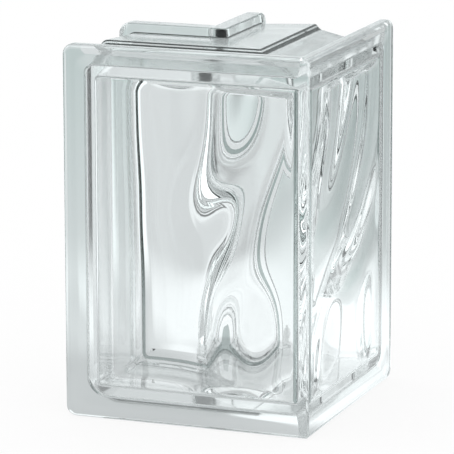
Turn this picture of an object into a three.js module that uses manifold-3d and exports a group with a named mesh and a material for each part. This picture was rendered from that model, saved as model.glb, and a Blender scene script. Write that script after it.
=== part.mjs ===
// Corner glass block: a hollow L-shaped block of clear pressed glass with wavy panels.
//
// Two open half shells are pressed in moulds and fused along a seam. The outer half carries
// the two show faces, which meet at a sharp upright edge. The inner half carries the two
// small faces in the notch. Raised ribs run round both sides of every edge, and the mortar
// groove lies between them, with the seam along its middle.
//
// Millimetres, +Z up. The origin is on the floor, under the middle of the L's square.
// Every shape is first drawn flat and then folded round the corner: "along" is the signed
// distance from the sharp upright edge (negative on the left leg), "up" is the height, and
// "depth" is the distance behind the show faces. "Inset" is measured in from the outline.
import * as THREE from 'three';
import { mergeVertices } from 'three/addons/utils/BufferGeometryUtils.js';
import Module from 'manifold-3d';

const wasm = await Module();
wasm.setup();

// Driving dimensions
const height = 190;
const legLength = 130;
const innerSetback = 2;           // how much shorter the legs of the inner half are
const legDepth = 80;
const seamDepth = 40;
const panelThickness = 7;          // between the streams that are pressed into it

// Edges and corners
const arrisRadius = 2.5;          // rounding of the rims of the faces
const outlineCorner = 5.5;        // outline radius at the free corners of a leg
const uprightEdgeRadius = 1.4;    // the sharp edge where the show faces meet
const notchCornerRadius = 3;      // fillet in the corner of the notch

// Ribs and mortar groove
const outerRibWidth = 6.5;
const innerRibWidth = 10.5;
const ribEdge = 1;                // bevel of a rib's groove-side edge
const outerRibDraft = 1.6;        // lean of a rib's groove side
const innerRibDraft = 0.8;
const outerRibLip = 6;            // how far in the rib's back is flat before it slopes
const lipLean = 0.15;
const grooveFillet = 2;
const grooveAtOuterRib = 11.5;    // groove depth beside the outer rib
const grooveAtStep = 6.2;         // and where the step at the seam starts
const grooveAtSeam = 4;
const grooveAtInnerRib = 4.8;
const stepWidth = 2.6;
const grooveFootCorner = 10;      // outline radii of the groove floor, at the foot and the top
const grooveTopCorner = 4;

// Cavity
const cavityAtOuterPanel = 15.5;  // inset of the cavity wall behind the show faces
const cavityAtSeam = 13;
const cavityAtInnerPanel = 15;
const outerFillet = 2;            // between a cavity wall and a panel
const innerFillet = 4.5;
const cavityCorner = 3;           // outline radius of the cavity
const postFillet = 5;             // inside the outer upright edge
const heelRadius = 7;             // on the cavity side of the notch corner

// Streams pressed into the cavity side of each panel. Every stream has a width and a row of
// points: distance from the sharp upright edge, height, and how far it stands out.
const outerLeftStreams = [
  [17, [[38, 8, 3.5], [39, 30, 5.5], [39, 48, 6], [36, 66, 4.5], [36, 82, -1], [58, 98, 3.5],
    [54, 116, 5.5], [38, 134, 5], [30, 155, 7], [28, 184, 9]]],
  [14, [[76, 118, 0], [73, 140, 1.5], [72, 160, 3], [72, 182, 4]]],
];
const outerRightStreams = [
  [16, [[2, 98, 2.5], [26, 108, 4], [43, 115, 4], [58, 135, 4.5], [66, 150, 4.5],
    [73, 160, 4.5], [78, 184, 4.5]]],
  [10, [[18, 108, 1], [22, 120, 2.5], [30, 136, 3], [37, 150, 3], [40, 184, 3]]],
  [12, [[40, 66, 0], [58, 72, 3], [72, 73, 4], [88, 80, 4], [97, 90, 4], [112, 104, 3]]],
  [8, [[58, 92, 0.5], [76, 108, 2], [92, 134, 2], [98, 158, 2], [100, 184, 2]]],
  [14, [[24, 18, 2.5], [28, 40, 3.5], [40, 58, 1]]],
  [14, [[104, 20, 3], [104, 48, 3.5], [100, 62, 1]]],
];
const innerLeftStreams = [
  [15, [[90, 10, 0.5], [96, 60, 0.5], [88, 110, 0.5], [92, 180, 0.5]]],
];
const innerRightStreams = [
  [15, [[100, 10, 0.6], [92, 60, 0.8], [98, 110, 0.8], [90, 180, 0.8]]],
];
const streamFade = 6;             // the streams die away this near the edge of a panel
const facingRoot = 2;             // how deep a streamed facing is bedded in its panel

// Facets and overlaps
const facingStep = 4.5;
const streamStep = 2;
const arcSteps = 5;
const rimSteps = 3;
const overrun = 1;                // how far a cutter runs past the surface that it cuts
const arcMiddle = 0.3;            // sag of a 90 degree arc's middle, as a share of its radius

// Place a flat point on the folded sheet that lies "depth" behind the show faces.
function fold(along, up, depth) {
  const point = along < 0
    ? new THREE.Vector3(along, depth, up)
    : new THREE.Vector3(-depth, along, up);
  return point.add(new THREE.Vector3(legLength / 2, -legLength / 2, 0));
}

// Outline of one leg, from its foot at the fold, round its free end, to its top at the fold.
function legOutline(side, { depth, inset, foot, top, setback = 0 }) {
  const far = legLength - setback - inset;
  const points = [fold(side * depth, inset, depth)];
  const corners = [[foot, inset + foot, -Math.PI / 2], [top, height - inset - top, 0]];
  for (const [radius, centre, start] of corners) {
    for (let i = 0; i <= arcSteps; i++) {
      const angle = start + (i / arcSteps) * Math.PI / 2;
      const along = far - radius + radius * Math.cos(angle);
      points.push(fold(side * along, centre + radius * Math.sin(angle), depth));
    }
  }
  points.push(fold(side * depth, height - inset, depth));
  return points;
}

// Closed outline round both legs: up the right leg and back down the left one.
function foldedOutline(section) {
  const right = legOutline(1, section);
  const left = legOutline(-1, section).reverse();
  return [...right, ...left.slice(1, -1)];
}

function solidFrom(geometry) {
  geometry.deleteAttribute('normal');
  geometry.deleteAttribute('uv');
  const merged = mergeVertices(geometry);
  const mesh = new wasm.Mesh({
    numProp: 3,
    vertProperties: new Float32Array(merged.attributes.position.array),
    triVerts: new Uint32Array(merged.index.array),
  });
  return new wasm.Manifold(mesh);
}

function meshFrom(name, solid, material) {
  const { vertProperties, triVerts } = solid.getMesh();
  const geometry = new THREE.BufferGeometry();
  geometry.setAttribute('position', new THREE.BufferAttribute(new Float32Array(vertProperties), 3));
  geometry.setIndex(new THREE.BufferAttribute(new Uint32Array(triVerts), 1));
  geometry.computeVertexNormals();
  const mesh = new THREE.Mesh(geometry, material);
  mesh.name = name;
  return mesh;
}

// Solid between a row of folded outlines, from the shallowest to the deepest. Both ends are
// closed by a flat face on each leg; the two share the fold, so one fan closes them both.
function foldedLoft(sections) {
  const loops = sections.map(foldedOutline);
  const count = loops[0].length;
  const last = (loops.length - 1) * count;
  const triangles = [];
  for (let row = 0; row < last; row += count) {
    for (let i = 0; i < count; i++) {
      const a = row + i;
      const b = row + (i + 1) % count;
      triangles.push(a, a + count, b, b, a + count, b + count);
    }
  }
  for (let i = 1; i < count - 1; i++) {
    triangles.push(0, i, i + 1, last, last + i + 1, last + i);
  }
  const geometry = new THREE.BufferGeometry().setFromPoints(loops.flat());
  geometry.setIndex(triangles);
  return solidFrom(geometry);
}

// One outline of the block's edge, whose corners change from the rib to the groove floor.
function edge(depth, inset, setback = 0) {
  const share = inset / grooveAtOuterRib;
  const foot = THREE.MathUtils.lerp(outlineCorner, grooveFootCorner, share);
  const top = THREE.MathUtils.lerp(outlineCorner, grooveTopCorner, share);
  return { depth, inset, foot, top, setback };
}

// Outlines of a rim and the rib behind it. "inwards" is the way from the face to the seam.
function ribSections({ face, inwards, ribWidth, setback = 0 }) {
  const at = (fromFace, inset) => edge(face + inwards * fromFace, inset, setback);
  const rim = [];
  for (let i = 0; i <= rimSteps; i++) {
    const angle = (i / rimSteps) * Math.PI / 2;
    rim.push(at(arrisRadius * (1 - Math.cos(angle)), arrisRadius * (1 - Math.sin(angle))));
  }
  return [...rim, at(ribWidth - ribEdge, 0), at(ribWidth, ribEdge)];
}

// From the show faces: the rib with its lip, the sloping groove floor and the seam's step.
function outerBody() {
  const foot = outerRibWidth + outerRibDraft;
  return foldedLoft([
    ...ribSections({ face: 0, inwards: 1, ribWidth: outerRibWidth }),
    edge(outerRibWidth + lipLean, outerRibLip),
    edge(foot, grooveAtOuterRib - grooveFillet),
    edge(foot + grooveFillet * arcMiddle, grooveAtOuterRib - grooveFillet * arcMiddle),
    edge(foot + grooveFillet, grooveAtOuterRib),
    edge(seamDepth - stepWidth, grooveAtStep),
    edge(seamDepth, grooveAtSeam),
  ]);
}

// From the seam: the groove floor and the rib along the notch's faces.
function innerBody() {
  const rib = ribSections({
    face: legDepth, inwards: -1, ribWidth: innerRibWidth, setback: innerSetback,
  });
  return foldedLoft([
    edge(seamDepth, grooveAtSeam),
    edge(legDepth - innerRibWidth - innerRibDraft, grooveAtInnerRib, innerSetback),
    ...rib.reverse(),
  ]);
}

// The space inside before the streams: its walls, and fillets that run on into the panels.
function plainCavity() {
  const near = panelThickness;
  const far = legDepth - panelThickness;
  const wall = (depth, inset) => ({ depth, inset, foot: cavityCorner, top: cavityCorner });
  return foldedLoft([
    wall(near - facingRoot / 2, cavityAtOuterPanel + outerFillet),
    wall(near, cavityAtOuterPanel + outerFillet),
    wall(near + outerFillet * arcMiddle, cavityAtOuterPanel + outerFillet * arcMiddle),
    wall(near + outerFillet, cavityAtOuterPanel),
    wall(seamDepth, cavityAtSeam),
    wall(far - innerFillet, cavityAtInnerPanel),
    wall(far - innerFillet * arcMiddle, cavityAtInnerPanel + innerFillet * arcMiddle),
    wall(far, cavityAtInnerPanel + innerFillet),
    wall(far + facingRoot / 2, cavityAtInnerPanel + innerFillet),
  ]);
}

// Upright prism between a square corner at a fold and an arc that is tangent to its sides.
// It fills an inside corner, or is the sliver that rounding takes off an outside one.
function cornerSliver(depth, radius, bottom, top) {
  const shape = new THREE.Shape();
  shape.moveTo(overrun, -overrun);
  shape.lineTo(-radius, -overrun);
  shape.lineTo(-radius, 0);
  shape.absarc(-radius, radius, radius, -Math.PI / 2, 0, false);
  shape.lineTo(overrun, radius);
  shape.closePath();
  const geometry = new THREE.ExtrudeGeometry(shape, {
    depth: top - bottom, bevelEnabled: false, curveSegments: arcSteps,
  });
  const corner = fold(depth, bottom, depth);
  geometry.translate(corner.x, corner.y, corner.z);
  return solidFrom(geometry);
}

// How far the streams of a panel stand out at a point: each is smeared out along its row.
function relief(streams) {
  const rows = streams.map(([width, points]) => {
    const curve = new THREE.CatmullRomCurve3(points.map((point) => new THREE.Vector3(...point)));
    const count = Math.round(curve.getLength() / streamStep);
    return { width, samples: curve.getSpacedPoints(count) };
  });
  return (along, up) => {
    let total = 0;
    for (const { width, samples } of rows) {
      for (const sample of samples) {
        const away = Math.hypot(along - sample.x, up - sample.y) / width;
        total += sample.z * Math.exp(-away * away) * streamStep / (width * Math.sqrt(Math.PI));
      }
    }
    return total;
  };
}

function fade(distance) {
  const share = THREE.MathUtils.clamp(distance / streamFade, 0, 1);
  return share * share * (3 - 2 * share);
}

// Streamed facing of one leg's panel: a slab with its root in the glass and a free side that
// the streams push out into the cavity. "inwards" is the way from the panel to the cavity,
// and the slab stays flat for a stretch beside the fold.
function streamedFacing(side, depth, inwards, streams, { start, flat, inset }) {
  const raisedAt = relief(streams);
  const end = legLength - cavityAtSeam / 2;
  const rise = height - cavityAtSeam;
  const slab = new THREE.BoxGeometry(
    1, 1, 1, Math.round((end - start) / facingStep), Math.round(rise / facingStep), 1,
  );
  const position = slab.attributes.position;
  const turn = side * inwards < 0 ? 1 : -1;
  for (let i = 0; i < position.count; i++) {
    const along = (start + end) / 2 + turn * position.getX(i) * (end - start);
    const up = height / 2 + position.getY(i) * rise;
    const fromEdge = Math.min(along - depth - flat, legLength - inset - along,
      up - inset, height - inset - up);
    const raised = Math.max(0, raisedAt(along, up)) * fade(fromEdge);
    const free = position.getZ(i) > 0;
    const point = fold(side * along, up, depth + inwards * (free ? raised : -facingRoot));
    position.setXYZ(i, point.x, point.y, point.z);
  }
  return solidFrom(slab);
}

function cavity() {
  const near = panelThickness;
  const far = legDepth - panelThickness;
  const post = cornerSliver(near, postFillet, 0, height);
  const heel = cornerSliver(far, heelRadius, cavityAtInnerPanel, height - cavityAtInnerPanel);
  const outer = { start: near - 2 * facingRoot, flat: postFillet, inset: cavityAtOuterPanel + outerFillet };
  const inner = { start: far, flat: heelRadius, inset: cavityAtInnerPanel + innerFillet };
  return plainCavity()
    .subtract(post)
    .subtract(streamedFacing(-1, near, 1, outerLeftStreams, outer))
    .subtract(streamedFacing(1, near, 1, outerRightStreams, outer))
    .subtract(streamedFacing(-1, far, -1, innerLeftStreams, inner))
    .subtract(streamedFacing(1, far, -1, innerRightStreams, inner))
    .add(heel);
}

function outerHalf() {
  const sharp = cornerSliver(0, uprightEdgeRadius, -overrun, height + overrun);
  return outerBody().subtract(cavity()).subtract(sharp);
}

function innerHalf() {
  const notch = cornerSliver(legDepth, notchCornerRadius, arrisRadius, height - arrisRadius);
  return innerBody().subtract(cavity()).add(notch);
}

const glass = () => new THREE.MeshStandardMaterial({
  color: 0xdfeae6, roughness: 0.04, metalness: 0, transparent: true, opacity: 0.4,
});

const block = new THREE.Group();
block.add(meshFrom('outer_half', outerHalf(), glass()));
block.add(meshFrom('inner_half', innerHalf(), glass()));

export default block;
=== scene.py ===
import math
import bpy
import bmesh
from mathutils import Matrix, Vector


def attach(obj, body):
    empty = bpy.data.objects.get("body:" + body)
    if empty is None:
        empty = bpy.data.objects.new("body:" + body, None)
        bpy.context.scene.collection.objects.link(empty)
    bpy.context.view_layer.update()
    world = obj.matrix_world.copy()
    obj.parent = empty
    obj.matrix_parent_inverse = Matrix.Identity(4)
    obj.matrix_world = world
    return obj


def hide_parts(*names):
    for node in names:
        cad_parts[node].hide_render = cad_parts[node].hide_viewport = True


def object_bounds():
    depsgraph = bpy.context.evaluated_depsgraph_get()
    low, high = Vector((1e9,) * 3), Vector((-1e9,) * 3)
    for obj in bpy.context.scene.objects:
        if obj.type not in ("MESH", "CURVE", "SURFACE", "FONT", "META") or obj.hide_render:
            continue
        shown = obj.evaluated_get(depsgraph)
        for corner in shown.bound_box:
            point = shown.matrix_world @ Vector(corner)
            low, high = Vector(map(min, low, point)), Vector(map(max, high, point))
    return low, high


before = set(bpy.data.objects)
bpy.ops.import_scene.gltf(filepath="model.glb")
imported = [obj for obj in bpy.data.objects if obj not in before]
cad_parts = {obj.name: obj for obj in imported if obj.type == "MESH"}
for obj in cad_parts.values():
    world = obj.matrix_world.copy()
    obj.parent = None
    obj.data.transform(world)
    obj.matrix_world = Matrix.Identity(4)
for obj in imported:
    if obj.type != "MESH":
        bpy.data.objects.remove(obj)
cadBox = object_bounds()
low, high = cadBox
mm = 0.001
print("frame loaded")


def linear(hexColour):
    # sRGB hex to the linear values that shaders use
    values = [int(hexColour[i:i + 2], 16) / 255 for i in (1, 3, 5)]
    return [v / 12.92 if v <= 0.04045 else ((v + 0.055) / 1.055) ** 2.4 for v in values] + [1]


def addNode(tree, kind, settings=None, inputs=None, links=None):
    # a node with its settings and socket values, and links from other nodes' outputs
    node = tree.nodes.new(kind)
    for name, value in (settings or {}).items():
        setattr(node, name, value)
    for name, value in (inputs or {}).items():
        node.inputs[name].default_value = value
    for name, source in (links or {}).items():
        tree.links.new(source, node.inputs[name])
    return node


cameraPlan = {
    "distance": 1.848,
    "turn": 20.92,          # degrees to the right of straight on
    "rise": 12.55,          # degrees above level
    "roll": 0.12,
    "lens": 288.05,
    "target": (-0.84 * mm, -1.73 * mm, 89.1 * mm),
}


def addCamera(plan):
    turn, rise = math.radians(plan["turn"]), math.radians(plan["rise"])
    back = Vector((math.sin(turn) * math.cos(rise), -math.cos(turn) * math.cos(rise), math.sin(rise)))
    bpy.ops.object.camera_add(location=Vector(plan["target"]) + back * plan["distance"])
    camera = bpy.context.object
    camera.data.lens = plan["lens"]
    camera.data.clip_start = 0.1
    camera.rotation_euler = (math.pi / 2 - rise, math.radians(plan["roll"]), turn)
    bpy.context.scene.camera = camera


addCamera(cameraPlan)
print("camera placed")

# depths are measured from a show face, and insets from the outline of the show face
block = {
    "height": high.z - low.z,
    "leg": high.x - low.x,
    "depth": 80 * mm,
    "seam": 40 * mm,         # where the two pressed halves are fused
    "innerSetback": 2 * mm,  # how much shorter the inner half is at the free ends
    "outlineCorner": 5.5 * mm,
    "grooveTopCorner": 4 * mm,
    "grooveFootCorner": 10 * mm,
    "cornerSteps": 10,
    "pastFold": 20 * mm,     # how far a leg runs past the fold before it is mitred
    "outerRib": 6.5 * mm,
    "outerLip": 6 * mm,      # flat part of the rib's back, before its slope
    "lipLean": 0.15 * mm,
    "innerRib": 10.5 * mm,
    "ribDraft": 1.6 * mm,
    "innerRibDraft": 0.8 * mm,
    "grooveAtOuterRib": 11.5 * mm,
    "grooveAtSeam": 6.2 * mm,
    "stepAtSeam": 4.0 * mm,
    "stepWidth": 2.6 * mm,
    "grooveAtInnerRib": 4.8 * mm,
    "rim": 2.5 * mm,
    "upright": 1.4 * mm,     # rounding of the sharp corner where the show faces meet
    "notch": 3 * mm,
    "ribEdge": 1 * mm,
    "grooveFillet": 2 * mm,
    "stepFoot": 1.6 * mm,
    "stepEdge": 1 * mm,
    "rimSteps": 6,
    "edgeSteps": 3,
    "filletSteps": 5,
    "footSteps": 4,
    "uprightSteps": 4,
}
cavity = {
    "panel": 7 * mm,
    "atOuterPanel": 15.5 * mm,
    "atSeam": 13 * mm,
    "atInnerPanel": 15 * mm,
    "corner": 3 * mm,
    "fillet": 2 * mm,
    "innerFillet": 4.5 * mm,
    "seamRounding": 3 * mm,
    "post": 2.5 * mm,        # rounding inside the sharp corner
    "heel": 7 * mm,          # rounding behind the notch
    "step": 2 * mm,          # size of the cells that the streams push in
    "fade": 3 * mm,          # the streams die away this near the edge of a panel
    "filletSteps": 5,
    "innerFilletSteps": 7,
    "seamSteps": 3,
    "foldSteps": 6,
}
tolerance = 0.02 * mm


def selectEdges(test):
    # edges whose two ends both pass the test
    bpy.ops.mesh.select_mode(type="EDGE")
    bpy.ops.mesh.select_all(action="DESELECT")
    data = bpy.context.edit_object.data
    mesh = bmesh.from_edit_mesh(data)
    for edge in mesh.edges:
        if all(test(v.co) for v in edge.verts):
            edge.select_set(True)
    bmesh.update_edit_mesh(data)


def addOutline(depth, inset, corners, setback=0.0):
    # a ring round one leg at this depth, rounded at the free end and left square past the fold
    near = low.y - block["pastFold"]
    far = high.y - setback - inset
    centre = Vector((high.x - depth, (near + far) / 2, block["height"] / 2))
    bpy.ops.mesh.primitive_plane_add(size=1, location=centre, rotation=(0, math.pi / 2, 0))
    bpy.ops.transform.resize(
        value=(1, far - near, block["height"] - 2 * inset), center_override=centre)
    for side, radius in zip((1, -1), corners):
        roundCorner(high.x - depth, far, centre.z, side, radius)
    return high.x - depth


def roundCorner(place, far, middle, side, radius):
    bpy.ops.mesh.select_mode(type="VERT")
    bpy.ops.mesh.select_all(action="DESELECT")
    data = bpy.context.edit_object.data
    mesh = bmesh.from_edit_mesh(data)
    for vertex in mesh.verts:
        point = vertex.co
        if (abs(point.x - place) < tolerance and abs(point.y - far) < tolerance
                and (point.z - middle) * side > 0):
            vertex.select_set(True)
    bmesh.update_edit_mesh(data)
    bpy.ops.mesh.bevel(offset=radius, segments=block["cornerSteps"], affect="VERTICES")


def atPlace(place):
    return lambda point: abs(point.x - place) < tolerance


def makeLeg(name, outlines):
    # outlines bridged one to the next, with a face over each end
    bpy.ops.object.select_all(action="DESELECT")
    bpy.ops.mesh.primitive_plane_add(size=1)
    leg = bpy.context.object
    leg.name = name
    bpy.ops.object.mode_set(mode="EDIT")
    bpy.ops.mesh.delete(type="VERT")
    places = [addOutline(*outline) for outline in outlines]
    bpy.ops.mesh.select_all(action="SELECT")
    bpy.ops.mesh.delete(type="ONLY_FACE")
    for here, there in zip(places, places[1:]):
        selectEdges(lambda point: atPlace(here)(point) or atPlace(there)(point))
        bpy.ops.mesh.bridge_edge_loops()
    for end in (places[0], places[-1]):
        selectEdges(atPlace(end))
        bpy.ops.mesh.edge_face_add()
    bpy.ops.mesh.select_all(action="SELECT")
    bpy.ops.mesh.normals_make_consistent(inside=False)
    return leg


def roundRing(depth, width, segments):
    selectEdges(atPlace(high.x - depth))
    bpy.ops.mesh.bevel(offset=width, segments=segments, affect="EDGES")


def mitreAndMirror(leg):
    # cuts the leg at the fold and mirrors it round the corner
    bpy.ops.mesh.select_all(action="SELECT")
    bpy.ops.mesh.bisect(plane_co=(0, 0, 0), plane_no=(1, 1, 0), clear_inner=True)
    bpy.ops.object.mode_set(mode="OBJECT")
    bpy.ops.object.empty_add(rotation=(0, 0, math.pi / 4))
    fold = bpy.context.object
    mirror = leg.modifiers.new("fold", "MIRROR")
    mirror.mirror_object = fold
    mirror.merge_threshold = tolerance
    bpy.context.view_layer.update()
    bpy.context.view_layer.objects.active = leg
    bpy.ops.object.modifier_apply(modifier="fold")
    bpy.data.objects.remove(fold)
    bpy.ops.object.select_all(action="DESELECT")
    leg.select_set(True)
    bpy.ops.object.mode_set(mode="EDIT")


def onFold(point):
    return abs(point.x + point.y) < tolerance


def roundFold(test, width, segments):
    selectEdges(lambda point: onFold(point) and test(point))
    bpy.ops.mesh.bevel(offset=width, segments=segments, affect="EDGES")


def makeBody():
    b = block
    outer = (b["outlineCorner"], b["outlineCorner"])
    groove = (b["grooveTopCorner"], b["grooveFootCorner"])
    lip = b["outerRib"] + b["lipLean"]
    foot = b["outerRib"] + b["ribDraft"]
    innerFoot = b["depth"] - b["innerRib"] - b["innerRibDraft"]
    leg = makeLeg("glass_block", [
        (0, 0, outer),
        (b["outerRib"], 0, outer),
        (lip, b["outerLip"], outer),
        (foot, b["grooveAtOuterRib"], groove),
        (b["seam"] - b["stepWidth"], b["grooveAtSeam"], groove),
        (b["seam"], b["stepAtSeam"], groove),
        (innerFoot, b["grooveAtInnerRib"], outer, b["innerSetback"]),
        (b["depth"] - b["innerRib"], 0, outer, b["innerSetback"]),
        (b["depth"], 0, outer, b["innerSetback"]),
    ])
    for depth, width, segments in (
            (0, b["rim"], b["rimSteps"]),
            (b["outerRib"], b["ribEdge"], b["edgeSteps"]),
            (lip, b["ribEdge"], b["edgeSteps"]),
            (foot, b["grooveFillet"], b["filletSteps"]),
            (b["seam"] - b["stepWidth"], b["stepFoot"], b["footSteps"]),
            (b["seam"], b["stepEdge"], b["footSteps"]),
            (innerFoot, b["ribEdge"], b["footSteps"]),
            (b["depth"] - b["innerRib"], b["ribEdge"], b["edgeSteps"]),
            (b["depth"], b["rim"], b["rimSteps"])):
        roundRing(depth, width, segments)
    mitreAndMirror(leg)
    selectEdges(onFold)
    bpy.ops.mesh.mark_sharp()
    notch = high.x - b["depth"]
    for place, width, segments in (
            (high.x, b["upright"], b["uprightSteps"]), (notch, b["notch"], b["filletSteps"])):
        roundFold(lambda point: abs(point.x - place) < tolerance, width, segments)
    return leg


def makeCavity():
    # the sealed air space, as a solid of its own
    b, c = block, cavity
    corners = (c["corner"], c["corner"])
    leg = makeLeg("cavity", [
        (c["panel"], c["atOuterPanel"], corners),
        (b["seam"], c["atSeam"], corners),
        (b["depth"] - c["panel"], c["atInnerPanel"], corners),
    ])
    roundRing(c["panel"], c["fillet"], c["filletSteps"])
    roundRing(b["seam"], c["seamRounding"], c["seamSteps"])
    roundRing(b["depth"] - c["panel"], c["innerFillet"], c["innerFilletSteps"])
    mitreAndMirror(leg)
    outerPost = high.x - c["panel"]
    innerPost = high.x - b["depth"] + c["panel"]
    roundFold(lambda point: abs(point.x - outerPost) < tolerance, c["post"], c["foldSteps"])
    roundFold(lambda point: abs(point.x - innerPost) < tolerance, c["heel"], c["foldSteps"])
    return leg


def sliceInto(direction, start, stop, step):
    # a row of parallel cuts, as loop cuts would give
    count = round((stop - start) / step)
    for i in range(1, count):
        place = start + (stop - start) * i / count
        bpy.ops.mesh.select_all(action="SELECT")
        bpy.ops.mesh.bisect(plane_co=[place * axis for axis in direction], plane_no=direction)


# in mm: the spacing of a stream's samples, and the height that a full vertex weight stands for
streamStep = 2
tallest = 10


def smoothPath(points, step):
    # a curve through the points, sampled about every step along it
    ends = [points[0]] + points + [points[-1]]
    samples = []
    for before, start, stop, after in zip(ends, ends[1:], ends[2:], ends[3:]):
        count = max(round(math.dist(start[:2], stop[:2]) / step), 1)
        for i in range(count):
            t = i / count
            samples.append([0.5 * (2 * q + t * (r - p) + t * t * (2 * p - 5 * q + 4 * r - s)
                + t ** 3 * (3 * q - p - 3 * r + s)) for p, q, r, s in zip(before, start, stop, after)])
    return samples + [points[-1]]


def relief(streams, along, up):
    # each stream is smeared out along its row of samples
    total = 0
    for width, samples in streams:
        share = streamStep / (width * math.sqrt(math.pi))
        for place, level, height in samples:
            away = (along - place) ** 2 + (up - level) ** 2
            total += height * share * math.exp(-away / width ** 2)
    return total


def fade(distance):
    # nothing at the edge of a panel, and all of the relief past the fade
    share = min(max(distance / cavity["fade"], 0), 1)
    return share * share * (3 - 2 * share)


# pressed relief in mm: each stream's width and its points, as distance from the sharp corner,
# height and how far it stands out
pressed = {
    "outerLeft": [
        (17, [(38, 8, 3.5), (39, 30, 5.5), (39, 48, 6), (36, 66, 4.5), (36, 82, -1), (58, 98, 3.5),
            (54, 116, 5.5), (38, 134, 5), (30, 155, 7), (28, 184, 9)]),
        (14, [(76, 118, 0), (73, 140, 1.5), (72, 160, 2.5), (72, 184, 3)]),
    ],
    "outerRight": [
        (16, [(2, 98, 2.5), (26, 108, 4), (43, 115, 4), (58, 135, 4.5), (66, 150, 4.5),
            (73, 160, 4.5), (78, 184, 4.5)]),
        (10, [(18, 108, 1), (22, 120, 2.5), (30, 136, 3), (37, 150, 3), (40, 184, 3)]),
        (12, [(40, 66, 0), (58, 72, 3), (72, 73, 4), (88, 80, 4), (97, 90, 4), (112, 104, 3)]),
        (8, [(58, 92, 0.5), (76, 108, 2), (92, 134, 2), (98, 158, 2), (100, 184, 2)]),
        (14, [(24, 18, 2.5), (28, 40, 3.5), (40, 58, 1)]),
        (14, [(104, 20, 3), (104, 48, 3.5), (100, 62, 1)]),
    ],
    "innerRight": [(15, [(100, 10, 0.6), (92, 60, 0.8), (98, 110, 0.8), (90, 180, 0.8)])],
    "innerLeft": [(15, [(90, 10, 0.5), (96, 60, 0.5), (88, 110, 0.5), (92, 180, 0.5)])],
}


def pressPanel(leg, name, plan):
    # the relief as weights, displaced straight off the panel
    outer, right = name.startswith("outer"), name.endswith("Right")
    if outer:
        depth, inset = cavity["panel"], cavity["atOuterPanel"] + cavity["fillet"]
    else:
        depth, inset = block["depth"] - cavity["panel"], cavity["atInnerPanel"] + cavity["innerFillet"]
    streams = [(width, smoothPath(points, streamStep)) for width, points in plan]
    raised = leg.vertex_groups.new(name=name)
    for vertex in leg.data.vertices:
        fromRight, fromLeft = high.x - vertex.co.x, vertex.co.y - low.y
        across, along = (fromRight, fromLeft) if right else (fromLeft, fromRight)
        if abs(across - depth) > tolerance or along <= depth:
            continue
        up = vertex.co.z
        edge = min(along - depth - cavity["post"], block["leg"] - inset - along,
            up - inset, block["height"] - inset - up)
        height = relief(streams, along / mm, up / mm) * fade(edge)
        raised.add([vertex.index], min(max(height / tallest, 0), 1), "REPLACE")
    inwards = (-1 if right else 1) * (1 if outer else -1)
    push = leg.modifiers.new(name, "DISPLACE")
    push.vertex_group = name
    push.direction = "X" if right else "Y"
    push.mid_level = 0
    push.strength = inwards * tallest * mm
    bpy.ops.object.modifier_apply(modifier=name)


body = makeBody()
bpy.ops.object.mode_set(mode="OBJECT")
print("body", len(body.data.polygons))

hollow = makeCavity()
half = high.x - cavity["panel"]
sliceInto((1, 0, 0), -half, half, cavity["step"])
sliceInto((0, 1, 0), -half, half, cavity["step"])
sliceInto((0, 0, 1), 0, block["height"], cavity["step"])
bpy.ops.object.mode_set(mode="OBJECT")
for name, plan in pressed.items():
    pressPanel(hollow, name, plan)
bpy.ops.object.mode_set(mode="EDIT")
bpy.ops.mesh.select_all(action="SELECT")
bpy.ops.mesh.flip_normals()
bpy.ops.object.mode_set(mode="OBJECT")
print("cavity", len(hollow.data.polygons))

bpy.ops.object.select_all(action="DESELECT")
hollow.select_set(True)
body.select_set(True)
bpy.context.view_layer.objects.active = body
bpy.ops.object.join()
bpy.ops.object.shade_smooth()
even = body.modifiers.new("even", "WEIGHTED_NORMAL")
even.weight = 100
even.keep_sharp = True
bpy.ops.object.modifier_apply(modifier="even")
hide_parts("outer_half", "inner_half")
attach(body, "root")
print("block", len(body.data.polygons))


def sodaLimeGlass(name, roughness, tint="#ffffff"):
    material = bpy.data.materials.new(name)
    material.use_nodes = True
    tree = material.node_tree
    tree.nodes.clear()
    surface = addNode(tree, "ShaderNodeBsdfPrincipled", inputs={
        "Base Color": linear(tint), "Roughness": roughness, "IOR": 1.52, "Transmission Weight": 1.0})
    absorb = addNode(tree, "ShaderNodeVolumeAbsorption", inputs={
        "Color": linear("#eef3f2"), "Density": 2.0})
    addNode(tree, "ShaderNodeOutputMaterial", links={
        "Surface": surface.outputs["BSDF"], "Volume": absorb.outputs["Volume"]})
    return material


# "facing" is how straight a face looks out of its panel: 0 is along the panel and 1 straight out; these
# limits pick the faces that get painted shade
glazing = {
    "seamFacing": (0.1, 0.9),
    "seamReach": 0.75,       # share of a fillet's width that its dark line takes to each side
    "outerFacing": (0.15, 0.85),
    "innerFacing": (0.25, 0.65),
}


def between(value, limits):
    return limits[0] < value < limits[1]


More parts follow.
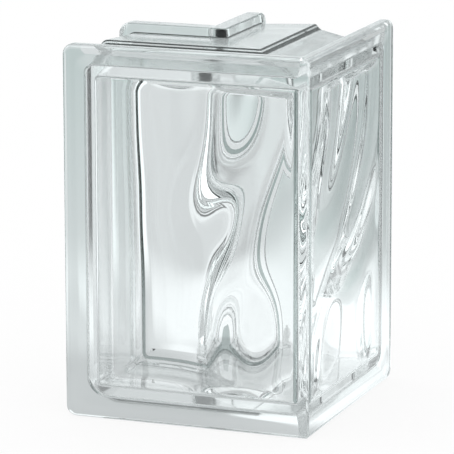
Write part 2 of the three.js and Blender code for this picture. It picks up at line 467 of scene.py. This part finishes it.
def glaze(mesh):
    # fire-polished panels and ribs, the mould's duller skin in the mortar groove round the ends,
    # painted shade as near-black glass on the step at the seam where the two halves meet and on the inner
    # rib's foot, which draws their dark lines, and painted shade as greyer glass on the cavity's roundings
    # and post, which outlines the panels
    b, c, g = block, cavity, glazing
    mesh.materials.clear()
    mesh.materials.append(sodaLimeGlass("pressedSodaLimeGlass", 0.0))
    mesh.materials.append(sodaLimeGlass("mouldedSodaLimeGlass", 0.14))
    mesh.materials.append(sodaLimeGlass("paintedShadeSeamGlass", 0.1, "#141817"))
    mesh.materials.append(sodaLimeGlass("paintedShadeFilletGlass", 0.12, "#8a9593"))
    polished, moulded, paintedShadeLine, paintedShadeFillet = range(4)
    inside = high.x - c["panel"] + tolerance
    post = inside - c["post"]
    innerFoot = b["depth"] - b["innerRib"] - b["innerRibDraft"]
    grooveDepths = (b["outerRib"] - tolerance, b["depth"] - b["innerRib"] + tolerance)
    # dark lines of painted shade in the groove: near-black glass on the seam's step and the inner rib's
    # foot
    darkLines = ((b["seam"] - b["stepWidth"], b["stepFoot"]), (b["seam"], b["stepEdge"]),
        (innerFoot, b["ribEdge"]))
    for face in mesh.polygons:
        x, y, z = face.center
        onRight = x > -y
        depth, end = (high.x - x, high.y - y) if onRight else (y - low.y, x - low.x)
        facing = abs(face.normal.x if onRight else face.normal.y)
        inset = min(z, b["height"] - z, end)
        inGroove = between(depth, grooveDepths) and inset < b["grooveAtOuterRib"] + tolerance
        onDarkLine = between(facing, g["seamFacing"]) and any(
            abs(depth - place) < g["seamReach"] * width for place, width in darkLines)
        # painted shade: the cavity's post and roundings get greyer glass, which outlines the panels
        onPost = between(x, (post, inside)) and between(-y, (post, inside))
        onOuterFillet = (between(facing, g["outerFacing"]) and between(depth - c["panel"], (0, c["fillet"]))
            and inset < c["atOuterPanel"] + c["fillet"])
        onInnerFillet = (between(facing, g["innerFacing"])
            and between(b["depth"] - c["panel"] - depth, (0, c["innerFillet"]))
            and inset < c["atInnerPanel"] + c["innerFillet"])
        if inGroove:
            face.material_index = paintedShadeLine if onDarkLine else moulded
        elif onPost or onOuterFillet or onInnerFillet:
            face.material_index = paintedShadeFillet
        else:
            face.material_index = polished


glaze(body.data)


# studio tones round the block: degrees clockwise from straight behind it, and how bright; on the floor
# these are painted pools of light and painted shade, seen only in the glass
floorTones = [(-180, 0.6), (-170, 0.6), (-166, 0.05), (-152, 0.05), (-146, 0.6), (-128, 1.3),
    (-106, 1.3), (-98, 0.8), (-88, 0.7), (-85, 0), (-60, 0), (-56, 1.25), (-41, 1.25), (-36, 0.78),
    (-16, 0.8), (-13, 1), (-9, 1), (-7, 0.2), (-4, 0.2), (-2, 1.15), (11, 1.15), (16, 0), (27, 0),
    (31, 1.5), (56, 1.5), (61, 0.3), (94, 0.7), (112, 0.3), (120, 1.4), (150, 1.3), (158, 0.6), (180, 0.6)]
nearTones = [(-180, 0.6), (-140, 0.8), (-105, 0.55), (-75, 0.55), (-50, 0.78), (-38, 0.8), (-31, 1.08),
    (2, 1.15), (14, 1.1), (17, 0.6), (26, 0.6), (31, 1.4), (56, 1.4), (66, 0.4), (112, 0.4), (122, 0.9),
    (180, 0.6)]
# painted shadow of the block on the floor under it, lighter towards the right, seen only in the glass
underTones = [(-180, 0.6), (-60, 0.62), (-20, 0.8), (20, 0.9), (55, 1.15), (115, 1.15), (130, 0.65),
    (180, 0.6)]
skyTones = [(-180, 0.4), (-130, 0.4), (-122, 0.9), (-88, 0.9), (-82, 0.05), (-52, 0.05), (-44, 1.1),
    (5, 1.1), (10, 0.5), (36, 0.5), (42, 1.3), (60, 1.3), (66, 0.3), (100, 0.5), (158, 0.4), (180, 0.4)]
# floor distances are metres from the block's middle, and sky heights those of a direction of length 1
studio = {
    "tint": "#f7fdfe",
    "underEnd": 0.085,       # the floor under the block
    "nearStart": 0.13,
    "nearEnd": 0.22,
    "farStart": 0.4,
    "horizonEnd": 0.23,      # the sky is brightest just above the floor
    "skyStart": 0.33,
    "skyShare": 0.6,
    "overhead": 0.9,
    "overheadStart": 0.55,
    "overheadFull": 0.85,
    "floorSize": 6,
    "underFloor": 0.0002,
    "shadow": 0.12,          # how much of the floor's white takes the block's shadow
}


def toneRamp(tree, place, tones):
    # a tone for each direction round the upright axis through the block
    axes = addNode(tree, "ShaderNodeSeparateXYZ", links={0: place})
    turn = addNode(tree, "ShaderNodeMath", {"operation": "ARCTAN2"},
        links={0: axes.outputs["X"], 1: axes.outputs["Y"]})
    share = addNode(tree, "ShaderNodeMapRange", inputs={
        "From Min": -math.pi, "From Max": math.pi}, links={"Value": turn.outputs[0]})
    peak = max(tone for _, tone in tones)
    ramp = addNode(tree, "ShaderNodeValToRGB", links={0: share.outputs["Result"]})
    stops = ramp.color_ramp.elements
    while len(stops) < len(tones):
        stops.new(1)
    for stop, (degrees, tone) in zip(stops, tones):
        stop.position = (degrees + 180) / 360
        stop.color = [tone / peak] * 3 + [1]
    lift = addNode(tree, "ShaderNodeMath", {"operation": "MULTIPLY"}, {1: peak}, {
        0: ramp.outputs["Color"]})
    return axes, lift.outputs[0]


def seenByGlass(tree):
    # reflected and refracted rays see the toned studio, and the rest sees the plain white sweep
    light = addNode(tree, "ShaderNodeLightPath")
    either = addNode(tree, "ShaderNodeMath", {"operation": "MAXIMUM"}, links={
        0: light.outputs["Is Glossy Ray"], 1: light.outputs["Is Transmission Ray"]})
    return either.outputs[0]


def studioWorld():
    world = bpy.data.worlds.new("studio")
    bpy.context.scene.world = world
    world.use_nodes = True
    tree = world.node_tree
    tree.nodes.clear()
    white = addNode(tree, "ShaderNodeBackground", inputs={"Color": (1, 1, 1, 1), "Strength": 1.0})
    place = addNode(tree, "ShaderNodeTexCoord")
    axes, sky = toneRamp(tree, place.outputs["Generated"], skyTones)
    drop = addNode(tree, "ShaderNodeMapRange", {"interpolation_type": "SMOOTHSTEP"}, inputs={
        "From Min": studio["horizonEnd"], "From Max": studio["skyStart"],
        "To Min": 1, "To Max": studio["skyShare"]},
        links={"Value": axes.outputs["Z"]})
    side = addNode(tree, "ShaderNodeMath", {"operation": "MULTIPLY"}, links={
        0: sky, 1: drop.outputs["Result"]})
    above = addNode(tree, "ShaderNodeMapRange", {"interpolation_type": "SMOOTHSTEP"}, inputs={
        "From Min": studio["overheadStart"], "From Max": studio["overheadFull"]},
        links={"Value": axes.outputs["Z"]})
    tone = addNode(tree, "ShaderNodeMix", {"data_type": "FLOAT"}, {"B": studio["overhead"]},
        {"Factor": above.outputs["Result"], "A": side.outputs[0]})
    toned = addNode(tree, "ShaderNodeBackground", inputs={"Color": linear(studio["tint"])},
        links={"Strength": tone.outputs["Result"]})
    mix = addNode(tree, "ShaderNodeMixShader", links={
        0: seenByGlass(tree), 1: white.outputs[0], 2: toned.outputs[0]})
    addNode(tree, "ShaderNodeOutputWorld", links={"Surface": mix.outputs[0]})


studioWorld()


def addFloor():
    bpy.ops.mesh.primitive_plane_add(size=studio["floorSize"], location=(0, 0, -studio["underFloor"]))
    floor = bpy.context.object
    floor.name = "floor"
    material = bpy.data.materials.new("whiteSweep")
    material.use_nodes = True
    tree = material.node_tree
    tree.nodes.clear()
    lit = addNode(tree, "ShaderNodeEmission", inputs={"Color": (1, 1, 1, 1), "Strength": 1.0})
    paper = addNode(tree, "ShaderNodeBsdfDiffuse", inputs={"Color": (1, 1, 1, 1)})
    white = addNode(tree, "ShaderNodeMixShader", inputs={0: studio["shadow"]}, links={
        1: lit.outputs[0], 2: paper.outputs[0]})
    place = addNode(tree, "ShaderNodeTexCoord")
    # painted light and shade on the floor for reflected and refracted rays: pools of light round the block
    # and the block's painted shadow under it
    under = toneRamp(tree, place.outputs["Object"], underTones)[1]
    near = toneRamp(tree, place.outputs["Object"], nearTones)[1]
    far = toneRamp(tree, place.outputs["Object"], floorTones)[1]
    radius = addNode(tree, "ShaderNodeVectorMath", {"operation": "LENGTH"}, links={
        0: place.outputs["Object"]})
    outwards = addNode(tree, "ShaderNodeMapRange", {"interpolation_type": "SMOOTHSTEP"}, inputs={
        "From Min": studio["nearEnd"], "From Max": studio["farStart"]},
        links={"Value": radius.outputs["Value"]})
    around = addNode(tree, "ShaderNodeMix", {"data_type": "FLOAT"},
        links={"Factor": outwards.outputs["Result"], "A": near, "B": far})
    clear = addNode(tree, "ShaderNodeMapRange", {"interpolation_type": "SMOOTHSTEP"}, inputs={
        "From Min": studio["underEnd"], "From Max": studio["nearStart"]},
        links={"Value": radius.outputs["Value"]})
    tone = addNode(tree, "ShaderNodeMix", {"data_type": "FLOAT"}, links={
        "Factor": clear.outputs["Result"], "A": under, "B": around.outputs["Result"]})
    toned = addNode(tree, "ShaderNodeEmission", inputs={"Color": linear(studio["tint"])},
        links={"Strength": tone.outputs["Result"]})
    mix = addNode(tree, "ShaderNodeMixShader", links={
        0: seenByGlass(tree), 1: white.outputs[0], 2: toned.outputs[0]})
    addNode(tree, "ShaderNodeOutputMaterial", links={"Surface": mix.outputs[0]})
    floor.data.materials.append(material)


addFloor()
# light crosses the inside of the block many times
cycles = bpy.context.scene.cycles
cycles.max_bounces = cycles.transmission_bounces = cycles.glossy_bounces = 48
bpy.context.scene.view_settings.view_transform = "Standard"
